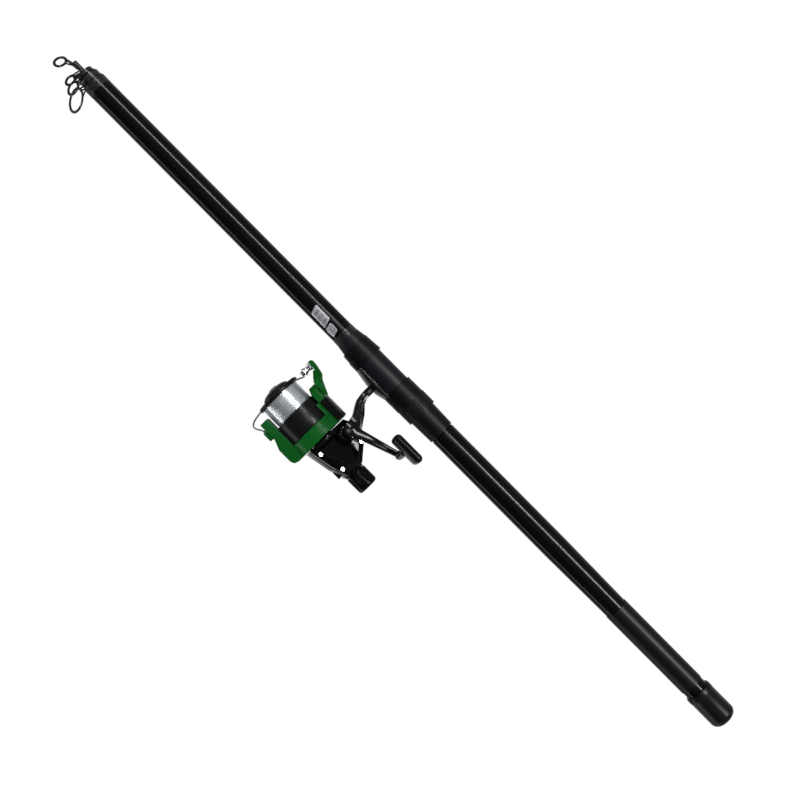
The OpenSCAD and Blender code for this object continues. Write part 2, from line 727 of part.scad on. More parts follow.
pin_r_knob = 2.2;    // pin on which the knob turns
knob_v = arm_v + 6;  // inner face of the knob
knob_neck_len = 25;
knob_bar_w = 21;     // depth of the knob's bar along its pin

module at_knob(v) { on_crank(v) rotate([0, 0, 180 + crank_angle]) translate([crank_len, 0, 0]) children(); }

module knob_pin() {
    color("#b9bcc2") at_knob(arm_v - 0.8) {
        cylinder(r = pin_r_knob, h = knob_neck_len + 16.8);
        translate([0, 0, knob_neck_len + 15.8]) cylinder(r = 3.4, h = 1.5);
    }
}

module handle_knob() {
    half = knob_len / 2 - 6;
    pin_end = knob_neck_len + 9;
    color("#1d1d20") at_knob(knob_v + gap) rotate([0, 0, -crank_angle]) difference() {
        union() {
            cylinder(r1 = 5.6, r2 = 5, h = knob_neck_len);
            hull() for (m = [-1, 1], z = [4, knob_bar_w - 5])
                translate([m * (half + 1.4 - abs(z - 10) * 0.1), 0, knob_neck_len + z - 1])
                    sphere(5.4, $fn = sharp_fn);
            translate([0, 0, knob_neck_len - 4]) cylinder(r1 = 5, r2 = 6.6, h = 5);
        }
        translate([0, 0, -1]) cylinder(r = pin_r_knob + 2 * fit, h = pin_end + 0.2);
        translate([0, 0, knob_neck_len + 6.5]) cylinder(r = 3.4 + gap, h = 4.5);
    }
}

module pinion() {
    color("#c9a24a") on_shaft(pinion_u[0]) difference() {
        union() {
            linear_extrude(pinion_u[1] - pinion_u[0]) spur(pinion_r, pinion_teeth, 1.1);
            cylinder(r = pinion_tube_r, h = nut_u[1] + 0.5 - pinion_u[0]);
        }
        translate([0, 0, -1]) cylinder(r = shaft_r + fit, h = nut_u[1] + 3);
    }
}

// ---- Reel: rotor and anti-reverse ----

ratchet_u = 32;      // rear face of the ratchet
ratchet_w = 2.5;
ratchet_r = 12;
rotor_u = [body_front + 1.2, 34.2];   // ends of the rotor's band
drum_r = 26.3;       // drum inside the spool's skirt
drum_wall = 1.8;
drum_end = 58;
web_u = [36, 39.5];  // web that joins the drum to the hub
nut_u = [44, 49];    // ends of the rotor's nut
core_half = 12;      // half width of the upper arm under its cover
cover_out = arm_r - 3;     // outer radius of that cover
core_out = cover_out - 2.4;
upper_in = 32.2;     // inner radius of the upper arm
cover_u = [rotor_u[0] + 0.4, 49.7];
front_out = arm_r - 5;     // outer radius of the upper arm in front of its cover
arm_end = bail_u + 6;
low_end = bail_u + 16;     // front end of the lower arm
low_out = arm_r - 4;       // its outer radius under the bail's hub
low_slope = [44, 56];      // where it slopes down to that radius

module ratchet() {
    teeth = 12;
    color("#a8abb0") on_shaft(ratchet_u) linear_extrude(ratchet_w) difference() {
        union() {
            circle(ratchet_r - 1.6);
            for (k = [0 : teeth - 1]) rotate(360 / teeth * k)
                polygon([[ratchet_r - 2.4, -2.4], [ratchet_r - 0.1, -1.9], [ratchet_r - 2, 2.4]]);
        }
        circle(pinion_tube_r + fit);
    }
}

module reverse_pawl() {
    color("#a8abb0") at_reel() translate([ratchet_u, pawl_at[0], pawl_at[1]]) rotate([90, 0, 90])
        linear_extrude(ratchet_w) difference() {
            union() {
                circle(2.9);
                for (e = [[7.2, 9.4], [7.5, -11.5]]) rotate(atan2(e[1], e[0])) {
                    translate([0, -1.1]) square([norm(e), 2.2]);
                    translate([norm(e), 0]) circle(1.2, $fn = sharp_fn);
                }
            }
            circle(1.5 + fit);
        }
}

// Cam rod along the body: a tab to turn it at the rear and a lobe beside the pawl's tail in front
module reverse_lever() {
    color("#1b1b1d") at_reel() translate([0, lever_at[0], lever_at[1]]) {
        translate([-32, 0, 0]) rotate([0, 90, 0]) cylinder(r = lever_r, h = 32 + ratchet_u + ratchet_w);
        translate([ratchet_u, 0, 0]) rotate([-25, 0, 0]) {
            translate([0, 0, -1]) cube([ratchet_w, 4, 2]);
            translate([0, 4, 0]) rotate([0, 90, 0]) cylinder(r = 0.9, h = ratchet_w, $fn = sharp_fn);
        }
        translate([-33, 0, 0]) rotate([170, 0, 0]) {
            translate([0, 0, -1.5]) cube([5, 4, 3]);
            translate([0, 4, 0]) rotate([0, 90, 0]) cylinder(r = 1.5, h = 5, $fn = sharp_fn);
        }
    }
}

// Part of a ring about the shaft that lies within a width: the form of an arm, on the +z side
module arm_block(u0, u1, r_in, r_out, half_w) {
    intersection() {
        translate([u0, 0, 0]) rotate([0, 90, 0]) pipe(r_out, r_in, u1 - u0);
        translate([u0 - 1, -half_w, 0]) cube([u1 - u0 + 2, 2 * half_w, r_out + 1]);
    }
}

module rotor() {
    half = arm_w / 2;
    color("#18883a") at_rotor() difference() {
        union() {
            rotate([0, 90, 0]) rotate_extrude() {
                translate([band_r - 2, rotor_u[0]]) square([2, rotor_u[1] - rotor_u[0]]);
                translate([drum_r - drum_wall, rotor_u[0]]) square([band_r - 1 - drum_r + drum_wall, 3]);
                translate([drum_r - drum_wall, rotor_u[0]]) square([drum_wall, drum_end - rotor_u[0]]);
                translate([pinion_tube_r + fit, web_u[0]]) {
                    square([drum_r - 1 - pinion_tube_r - fit, web_u[1] - web_u[0]]);
                    square([5, nut_u[0] - web_u[0]]);
                }
            }
            // Upper arm: a narrow core under its cover, full size in front of it, round at the bail's pivot
            arm_block(rotor_u[0], rotor_u[1], band_r - 1, core_out, core_half);
            arm_block(rotor_u[1] - 1, cover_u[1] + 1, upper_in, core_out, core_half);
            arm_block(cover_u[1] + 0.2, bail_u, upper_in, front_out, core_half + 1.8);
            intersection() {
                arm_block(bail_u - 1, arm_end, upper_in, front_out, core_half + 1.8);
                translate([bail_u - 8, 0, 0]) cylinder(r = 15, h = 60);
            }
            // Flange beside the upper arm
            arm_block(rotor_u[1] - 1, cover_u[1] + 1, arm_in_r, band_r, core_half + 7);
            // Lower arm, slimmer in front where the bail's hub turns
            intersection() {
                rotate([0, 90, 0]) rotate_extrude() polygon([[band_r - 1, rotor_u[0]],
                    [arm_r - 6, rotor_u[0]], [arm_r - 1.2, rotor_u[0] + 2], [arm_r + 0.8, rotor_u[0] + 6.5],
                    [arm_r + 0.8, low_slope[0]], [low_out, low_slope[1]],
                    [low_out, low_end], [arm_in_r, low_end], [arm_in_r, rotor_u[1] - 1],
                    [band_r - 1, rotor_u[1] - 1]]);
                translate([rotor_u[0] - 1, -half, -60]) cube([low_end, arm_w, 60]);
            }
        }
        // Spring chamber in the upper arm, holes of the two bail pivots, recess of the lower cover
        translate([chamber_u[0], -8, chamber_h]) cube([chamber_u[1] - chamber_u[0], 16, 12]);
        translate([bail_u, 0, 0]) cylinder(r = pivot_r + fit, h = 60);
        translate([bail_u, 0, -60]) cylinder(r = pivot_r + fit, h = 60);
        translate([24, -7, -arm_r - 2]) cube([low_slope[0] - 25, 14, 3.5]);
    }
}

pivot_r = 2.2;             // pivots of the bail
chamber_u = [26, 48.2];    // spring chamber in the upper arm
chamber_h = upper_in + 1.8;

module rotor_nut() {
    color("#b9bcc2") on_shaft(nut_u[0] + 0.1) difference() {
        cylinder(r = 8, h = nut_u[1] - nut_u[0], $fn = 6);
        translate([0, 0, -1]) cylinder(r = pinion_tube_r + fit, h = 10);
    }
}

module arm_covers() {
    color("#141416") at_rotor() {
        difference() {
            arm_block(cover_u[0], cover_u[1], band_r + 0.2, cover_out, core_half + 2.2);
            arm_block(cover_u[0] + 1.4, cover_u[1] + 1, band_r - 2, core_out + fit, core_half + fit);
            arm_block(cover_u[0] - 1, rotor_u[1] + 0.1, band_r - 1, band_r + 0.6, core_half + 6);
            arm_block(cover_u[0] - 1, cover_u[0] + 3, band_r - 2, core_out + fit, core_half + fit);
        }
        translate([24.1, -6.9, -arm_r - 0.5]) cube([low_slope[0] - 25.2, 13.8, 1.9]);
    }
}

// A coil spring along local z, as a swept tube
module coil(r, wire, turns, len) {
    sides = 6;
    per_turn = 14;
    n = per_turn * turns;
    rise = (len - 2 * wire) / n;
    slope = atan(rise * per_turn / (2 * PI * r));
    function ring(k) = let (a = 360 / per_turn * k)
        [for (j = [0 : sides - 1]) let (b = 360 / sides * j, o = wire * cos(b), q = wire * sin(b))
            [(r + o) * cos(a) + q * sin(slope) * sin(a), (r + o) * sin(a) - q * sin(slope) * cos(a),
                wire + rise * k + q * cos(slope)]];
    sweep([for (k = [0 : n]) ring(k)]);
}

// Closed skin over a list of rings of points
module sweep(rings) {
    m = len(rings[0]);
    n = len(rings);
    polyhedron(points = [for (g = rings) each g],
        faces = concat([[for (j = [m - 1 : -1 : 0]) j]], [[for (j = [0 : m - 1]) (n - 1) * m + j]],
            [for (k = [0 : n - 2], j = [0 : m - 1]) let (a = k * m, i = (j + 1) % m)
                [a + j, a + i, a + m + i, a + m + j]]));
}

module bail_spring() {
    len = chamber_u[1] - chamber_u[0] - 2;
    color("#b9bcc2") at_rotor() translate([chamber_u[0] + 1, 0, chamber_h + 3.1]) rotate([0, 90, 0])
        coil(2.5, 0.5, 9, len);
}

// ---- Reel: bail ----

roller_at = [bail_u + 26.2, -17.2];   // axis of the line roller, as u and side
roller_h = [41, 52.4];                // its two faces above the shaft
lever_h = front_out + gap;            // underside of the bail arm at its pivot
lever_t = 4.4;                        // its thickness there
pin_head_r = 4;                       // head of its pivot pin
hub_h = low_out + gap;                // top of the lower hub
roller_pin_r = 1.6;

module bail_arm() {
    tip_h = roller_h[1] + 0.6;
    color("#18883a") at_rotor() difference() {
        union() {
            hull() {
                translate([bail_u, 0, lever_h]) cylinder(r = 8, h = lever_t + 1.2, $fn = sharp_fn);
                translate([bail_u - 9, 0, lever_h]) cylinder(r = 6, h = 2.4, $fn = sharp_fn);
                translate([bail_u + 8, -5, lever_h + 4]) cylinder(r = 5.6, h = 6, $fn = sharp_fn);
            }
            hull() {
                translate([bail_u + 8, -5, lever_h + 4]) cylinder(r = 5.4, h = 6, $fn = sharp_fn);
                translate([bail_u + 14, -9.4, tip_h - 3]) cylinder(r = 5.2, h = 6.4, $fn = sharp_fn);
            }
            hull() {
                translate([bail_u + 14, -9.4, tip_h]) cylinder(r = 5.2, h = 3.4, $fn = sharp_fn);
                translate([roller_at[0], roller_at[1], tip_h]) cylinder(r = 5.8, h = 3.8, $fn = sharp_fn);
                translate([roller_at[0], roller_at[1], tip_h + 3]) cylinder(r = 3.8, h = 3, $fn = sharp_fn);
            }
        }
        translate([roller_at[0], roller_at[1], tip_h - 1]) cylinder(r = roller_pin_r + fit, h = 5.4);
        translate([bail_u, 0, lever_h - 1]) cylinder(r = pivot_r + fit, h = 10);
        translate([bail_u, 0, lever_h + lever_t]) cylinder(r = pin_head_r + gap, h = 10);
    }
}

// The wire's line: distance from the bail's pivot axis and height, in the plane of the bail
wire_points = [[41, 36.6], [46.5, 30], [51.5, 20], [54.6, 8], [55.6, -4], [55.4, -18], [54.6, -30],
    [52.5, -40], [49, -47.5], [43, -52], [36, -52], [28, -49.5], [20, -46.2], [9, -44.3]];

function on_plane(p) = [bail_u + p[0] * cos(bail_set), -p[0] * sin(bail_set), p[1]];

// Point at t on a smooth curve through a list of points
function smooth(pts, t) = let (n = len(pts) - 1, i = min(floor(t), n - 1), f = t - i,
    a = pts[max(i - 1, 0)], b = pts[i], c = pts[i + 1], d = pts[min(i + 2, n)])
    b + f * (c - a) / 2 + f * f * (a - 2.5 * b + 2 * c - d / 2)
        + f * f * f * (1.5 * b - a / 2 - 1.5 * c + d / 2);

module bail_wire() {
    sides = 8;
    steps = 4;
    holder_h = [roller_h[0] - 3.4, roller_h[0] - 0.2];
    line = concat([[roller_at[0], roller_at[1] - 2.2, holder_h[0] + 1.6]],
        [for (p = wire_points) on_plane(p)]);
    n = (len(line) - 1) * steps;
    side = [sin(bail_set), cos(bail_set), 0];
    function ring(k) = let (t = k / steps, c = smooth(line, t),
        e = smooth(line, min(t + 0.05, n / steps)) - smooth(line, max(t - 0.05, 0)),
        x = cross(e, side), ux = x / norm(x), uy = cross(ux, e / norm(e)))
        [for (j = [0 : sides - 1]) let (b = 360 / sides * j) c + bail_wire_r * (ux * cos(b) + uy * sin(b))];
    color("#c8ccd2") at_rotor() difference() {
        union() {
            sweep([for (k = [0 : n]) ring(k)]);
            translate([roller_at[0], roller_at[1], holder_h[0]])
                cylinder(r = 3.4, h = holder_h[1] - holder_h[0]);
        }
        translate([roller_at[0], roller_at[1], holder_h[0] - 1]) cylinder(r = roller_pin_r + fit, h = 6);
    }
}

module bail_hub() {
    color("#18883a") at_rotor() difference() {
        union() {
            translate([bail_u, 0, -hub_h - 4]) cylinder(r = 6.5, h = 4);
            translate([bail_u, 0, -hub_h - 3.6]) rotate([0, 0, -bail_set]) translate([0, -2.6, 0])
                cube([13, 5.2, 3.2]);
            translate([bail_u, 0, -hub_h]) cylinder(r = pivot_r, h = 5);
        }
        wire_socket();
    }
}

// Space of the wire's end in the lower hub
module wire_socket() {
    a = on_plane(wire_points[len(wire_points) - 2]);
    b = on_plane(wire_points[len(wire_points) - 1]);
    bar(a, b, bail_wire_r + fit);
}

module bail_pins() {
    color("#b9bcc2") at_rotor() {
        translate([roller_at[0], roller_at[1], roller_h[0] - 3.4])
            cylinder(r = roller_pin_r, h = roller_h[1] - roller_h[0] + 8);
        translate([roller_at[0], roller_at[1], roller_h[0] - 4.6]) cylinder(r = 2.8, h = 1.2);
        translate([bail_u, 0, lever_h - 8.8]) cylinder(r = pivot_r, h = 9.4 + lever_t);
        translate([bail_u, 0, lever_h + lever_t + fit]) cylinder(r = pin_head_r, h = 1.6);
    }
}

module line_roller() {
    mid = (roller_h[0] + roller_h[1]) / 2;
    half = (roller_h[1] - roller_h[0]) / 2;
    color("#d4d7dc") at_rotor() translate([roller_at[0], roller_at[1], mid]) rotate_extrude()
        polygon([[roller_pin_r + fit, -half], [roller_r, -half], [roller_r, -half + 1], [roller_r - 2, -0.8],
            [roller_r - 2, 0.8], [roller_r, half - 1], [roller_r, half], [roller_pin_r + fit, half]]);
}

// ---- Reel: spool and main shaft ----

skirt_u = [rotor_u[1] + 1, 63];   // ends of the spool's skirt
lip_u = [90, 95];                 // faces of its front lip
dome_u = lip_u[1] + 6.9;          // front of its cap
button_r = 6.2;
pocket_u = lip_u[1] - 3.6;        // floor of the button's pocket
shaft_u = [-60, pocket_u];        // ends of the main shaft

module main_shaft() {
    color("#b9bcc2") on_shaft(shaft_u[0]) cylinder(r = shaft_r, h = shaft_u[1] - shaft_u[0] + 0.5);
}

module spool() {
    front = lip_u[1];
    color("#151517") on_shaft(0) difference() {
        rotate_extrude() difference() {
            union() {
                translate([skirt_r - skirt_wall, skirt_u[0]]) square([skirt_wall, skirt_u[1] - skirt_u[0]]);
                translate([0, skirt_u[1] - 2.5]) square([skirt_r, 2.5]);
                translate([0, skirt_u[1] - 2.5]) square([core_r, front - skirt_u[1]]);
                polygon([[0, lip_u[0]], [lip_r - 1.2, lip_u[0]], [lip_r, lip_u[0] + 1.2],
                    [lip_r, front - 1.6], [lip_r - 1.4, front], [0, front]]);
                polygon([[0, front], [20, front], [19, front + 3], [15, front + 5.6], [10, dome_u],
                    [0, dome_u]]);
            }
            square([shaft_r + fit, dome_u + 1]);
            translate([5.5, 0]) square([core_r - 2 - 5.5, pocket_u - 6]);
            translate([0, pocket_u]) square([button_r + 0.2, 20]);
        }
    }
}

module line_winding() {
    color("#d3d6d9") on_shaft(skirt_u[1]) pipe(line_r, core_r, lip_u[0] - skirt_u[1]);
}

module release_button() {
    color("#9ba0a6") on_shaft(pocket_u + 4.7) {
        cylinder(r = button_r, h = 6.4);
        translate([0, 0, 6.4]) cylinder(r1 = button_r, r2 = button_r - 1, h = 1);
    }
}

module button_spring() {
    color("#b9bcc2") on_shaft(pocket_u + 0.1) coil(4, 0.4, 3, 2.9);
}

// ---- Reel: rear drag ----

stack_u = body_rear + body_wall + 0.3;   // rear face of the washer stack
washer_w = 1.2;
washer_gap = 0.05;
plunger_u = body_rear - 10.8;            // rear face of the plunger
plunger_w = 3.5;

// Washer k of the stack, counted from the rear
module washer(k, r_out, r_in) {
    on_shaft(stack_u + k * (washer_w + washer_gap)) pipe(r_out, r_in, washer_w);
}

module drag_keyed_washers() { color("#b9bcc2") for (k = [1, 3]) washer(k, 10, shaft_r + fit); }

module drag_eared_washers() {
    color("#8f7648") for (k = [0, 2, 4]) washer(k, rear_r_body - body_wall - fit, shaft_r + 0.6);
}

module drag_spring() {
    start = plunger_u + plunger_w + 0.1;
    color("#b9bcc2") on_shaft(start) coil(5.4, 0.9, 3, stack_u - 0.1 - start);
}

module drag_plunger() {
    color("#8d9096") on_shaft(plunger_u) pipe(drag_bore_r - 0.1, shaft_r + gap, plunger_w);
}

module drag_knob() {
    grips = 12;
    rear = body_rear - 0.4 - drag_knob_len;
    color("#141416") on_shaft(rear) difference() {
        rotate_extrude() {
            translate([0, 4]) square([knob_r, drag_knob_len - 5]);
            polygon([[0, drag_knob_len - 1], [knob_r, drag_knob_len - 1], [knob_r - 1, drag_knob_len],
                [0, drag_knob_len]]);
            square([knob_r - 4, 5]);
            intersection() {
                translate([knob_r - 4, 4]) circle(4);
                square([knob_r, 5]);
            }
        }
        translate([0, 0, drag_knob_len - drag_neck_len - 0.2]) cylinder(r = drag_neck_r + 0.1, h = 20);
        translate([0, 0, 3.4]) cylinder(r = shaft_r + 0.6, h = 20);
        for (k = [0 : grips - 1]) rotate([0, 0, 360 / grips * k])
            translate([knob_r + 1.6, 0, 6]) cylinder(r = 2, h = drag_knob_len - 9);
    }
}

butt_tube();
butt_sleeve();
butt_cap();
butt_plug();
rattle_pad();
seat_tube();
seat_fixed_hood();
seat_sliding_hood();
seat_nut();
section_2();
guide_2_frame();
guide_2_ring();
section_3();
guide_3_frame();
guide_3_ring();
tip_section();
float_guide_frame();
float_guide_ring();
tip_guide_frame();
tip_guide_ring();
reel_body();
side_cover();
cover_screws();
drive_bearings();
pinion_bearing();
guide_rail();
drive_gear();
handle_arm();
handle_cap();
knob_pin();
handle_knob();
pinion();
ratchet();
rotor();
rotor_nut();
arm_covers();
bail_spring();
bail_arm();
bail_wire();
bail_hub();
bail_pins();
line_roller();
osc_gear();
osc_slider();
main_shaft();
spool();
line_winding();
release_button();
button_spring();
drag_keyed_washers();
drag_eared_washers();
drag_spring();
drag_plunger();
drag_knob();
reverse_lever();
reverse_pawl();
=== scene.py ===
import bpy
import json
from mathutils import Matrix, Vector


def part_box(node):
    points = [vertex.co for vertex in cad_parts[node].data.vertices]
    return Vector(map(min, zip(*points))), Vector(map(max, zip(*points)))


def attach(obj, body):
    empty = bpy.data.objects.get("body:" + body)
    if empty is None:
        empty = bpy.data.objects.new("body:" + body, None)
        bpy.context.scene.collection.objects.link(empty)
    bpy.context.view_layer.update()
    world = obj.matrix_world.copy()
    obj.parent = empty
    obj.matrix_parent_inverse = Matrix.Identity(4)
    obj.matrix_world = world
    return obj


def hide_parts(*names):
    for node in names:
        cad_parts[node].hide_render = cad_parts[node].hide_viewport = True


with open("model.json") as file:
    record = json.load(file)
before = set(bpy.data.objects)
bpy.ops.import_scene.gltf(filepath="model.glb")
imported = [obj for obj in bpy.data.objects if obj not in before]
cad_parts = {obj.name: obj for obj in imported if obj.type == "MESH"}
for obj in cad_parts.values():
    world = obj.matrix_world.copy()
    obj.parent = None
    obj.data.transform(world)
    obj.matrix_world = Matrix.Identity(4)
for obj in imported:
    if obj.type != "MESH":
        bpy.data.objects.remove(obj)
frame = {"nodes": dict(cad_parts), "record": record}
import json
import math
import random

import bmesh
import bpy
from mathutils import Matrix, Vector
from mathutils.bvhtree import BVHTree

random.seed(7)
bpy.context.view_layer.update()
NODES = frame["nodes"]
BODY_OF = {n: b for b, ns in frame["record"]["behaviour"]["bodies"].items() for n in ns}
ROOT = BODY_OF["butt_tube"]
SLOT_OF = {s["node"]: s["material_slot"] for s in frame["record"]["subparts"]}

# ---------------------------------------------------------------- camera
TILT = math.radians(18)                       # the camera looks up at the reel's handle side by this angle
AIM = Vector((-0.5475, 0.0, -0.0085))
DIST = 1.5
TO_CAM = Vector((0, -math.cos(TILT), -math.sin(TILT)))
ACROSS = Vector((0, -math.sin(TILT), math.cos(TILT)))
ROD_ANGLE = math.radians(45.23)


def make_camera():
    right = (math.cos(ROD_ANGLE) * Vector((1, 0, 0)) + math.sin(ROD_ANGLE) * ACROSS).normalized()
    up = TO_CAM.cross(right).normalized()
    m = Matrix((right, up, TO_CAM)).transposed().to_4x4()
    m.translation = AIM + TO_CAM * DIST
    cam = bpy.data.objects.new("camera", bpy.data.cameras.new("camera"))
    bpy.context.scene.collection.objects.link(cam)
    cam.matrix_world = m
    cam.data.sensor_width = 36
    cam.data.lens = 36 * DIST / 1.0
    cam.data.clip_end = 30
    bpy.context.scene.camera = cam


make_camera()


# ---------------------------------------------------------------- materials
def new_material(name):
    m = bpy.data.materials.new(name)
    m.use_nodes = True
    return m, m.node_tree.nodes, m.node_tree.links, m.node_tree.nodes["Principled BSDF"]


def add(nodes, kind, **values):
    n = nodes.new(kind)
    for k, v in values.items():
        if k in n.inputs:
            n.inputs[k].default_value = v
        else:
            setattr(n, k, v)
    return n


def colour_socket(sockets, name):
    """The colour socket of this name, as a mix node has one for each data type."""
    return [s for s in sockets if s.type == "RGBA" and s.name == name][0]


GRAIN_DEPTH = 0.0002         # metres of height in the fine grain
PATTERN_DEPTH = 0.0003       # metres of height in a ribbed pattern


def surface(name, dark, light, rough=(0.3, 0.45), grain=900.0, bump=0.15, metal=0.0, stretch=(1, 1, 1),
            wear_and_edge_highlight=None, specular=0.5, smudge=18.0, aniso=0.0):
    """A finish with two scales of colour and gloss variation, fine grain in its bump, and lighter edges that
    are partly rubbed wear and partly painted edge highlight.
    """
    m, nodes, links, bsdf = new_material(name)
    co = add(nodes, "ShaderNodeTexCoord")
    mp = add(nodes, "ShaderNodeMapping", Scale=stretch)
    links.new(co.outputs["Object"], mp.inputs["Vector"])
    fine = add(nodes, "ShaderNodeTexNoise", Scale=grain, Detail=6.0, Roughness=0.6)
    wide = add(nodes, "ShaderNodeTexNoise", Scale=smudge, Detail=3.0, Roughness=0.55)
    for n in (fine, wide):
        links.new(mp.outputs["Vector"], n.inputs["Vector"])
    both = add(nodes, "ShaderNodeMath", operation="MULTIPLY_ADD")
    links.new(fine.outputs["Fac"], both.inputs[0])
    both.inputs[1].default_value = 0.5
    half = add(nodes, "ShaderNodeMath", operation="MULTIPLY")
    links.new(wide.outputs["Fac"], half.inputs[0])
    half.inputs[1].default_value = 0.5
    links.new(half.outputs[0], both.inputs[2])
    ramp = add(nodes, "ShaderNodeMapRange")
    ramp.inputs["From Min"].default_value = 0.3
    ramp.inputs["From Max"].default_value = 0.7
    links.new(both.outputs[0], ramp.inputs["Value"])
    mix = add(nodes, "ShaderNodeMix", data_type="RGBA")
    colour_socket(mix.inputs, "A").default_value = (*dark, 1)
    colour_socket(mix.inputs, "B").default_value = (*light, 1)
    links.new(ramp.outputs["Result"], mix.inputs["Factor"])
    colour = colour_socket(mix.outputs, "Result")
    # Lighter convex edges, found by pointiness and broken up by the wide noise: rubbed wear, plus a painted
    # highlight where edges catch the light.
    if wear_and_edge_highlight:
        geo = add(nodes, "ShaderNodeNewGeometry")
        edge = add(nodes, "ShaderNodeMapRange")
        edge.inputs["From Min"].default_value = 0.53
        edge.inputs["From Max"].default_value = 0.62
        edge.inputs["To Max"].default_value = 0.6
        links.new(geo.outputs["Pointiness"], edge.inputs["Value"])
        worn_and_lit_edge_mask = add(nodes, "ShaderNodeMath", operation="MULTIPLY")
        links.new(edge.outputs["Result"], worn_and_lit_edge_mask.inputs[0])
        links.new(wide.outputs["Fac"], worn_and_lit_edge_mask.inputs[1])
        worn_and_lit_edges = add(nodes, "ShaderNodeMix", data_type="RGBA")
        colour_socket(worn_and_lit_edges.inputs, "B").default_value = (*wear_and_edge_highlight, 1)
        links.new(colour, colour_socket(worn_and_lit_edges.inputs, "A"))
        links.new(worn_and_lit_edge_mask.outputs[0], worn_and_lit_edges.inputs["Factor"])
        colour = colour_socket(worn_and_lit_edges.outputs, "Result")
    links.new(colour, bsdf.inputs["Base Color"])
    r = add(nodes, "ShaderNodeMapRange")
    r.inputs["From Min"].default_value = 0.25
    r.inputs["From Max"].default_value = 0.75
    r.inputs["To Min"].default_value = rough[0]
    r.inputs["To Max"].default_value = rough[1]
    links.new(both.outputs[0], r.inputs["Value"])
    links.new(r.outputs["Result"], bsdf.inputs["Roughness"])
    b = add(nodes, "ShaderNodeBump", Strength=bump, Distance=GRAIN_DEPTH)
    links.new(fine.outputs["Fac"], b.inputs["Height"])
    links.new(b.outputs["Normal"], bsdf.inputs["Normal"])
    bsdf.inputs["Metallic"].default_value = metal
    bsdf.inputs["Specular IOR Level"].default_value = specular
    bsdf.inputs["Anisotropic"].default_value = aniso
    return m


def ribbed(name, dark, light, rough, pattern, scale, bump, specular=0.15):
    """A finish with an even pattern in its bump: a wave for thread, or a fine lattice for rubber."""
    m = surface(name, dark, light, rough=rough, grain=1400.0, bump=0.1, specular=specular)
    nodes, links = m.node_tree.nodes, m.node_tree.links
    bsdf = nodes["Principled BSDF"]
    co = add(nodes, "ShaderNodeTexCoord")
    if pattern == "wave":
        t = add(nodes, "ShaderNodeTexWave", Scale=scale, bands_direction="X", wave_profile="SIN")
        t.inputs["Distortion"].default_value = 0.35
        t.inputs["Detail"].default_value = 1.0
        height = t.outputs["Fac"]
    else:
        t = add(nodes, "ShaderNodeTexVoronoi", Scale=scale, feature="DISTANCE_TO_EDGE")
        t.inputs["Randomness"].default_value = 0.25
        height = t.outputs["Distance"]
    links.new(co.outputs["Object"], t.inputs["Vector"])
    b = add(nodes, "ShaderNodeBump", Strength=bump, Distance=PATTERN_DEPTH)
    links.new(height, b.inputs["Height"])
    old = bsdf.inputs["Normal"].links[0].from_node
    links.new(b.outputs["Normal"], old.inputs["Normal"])
    return m
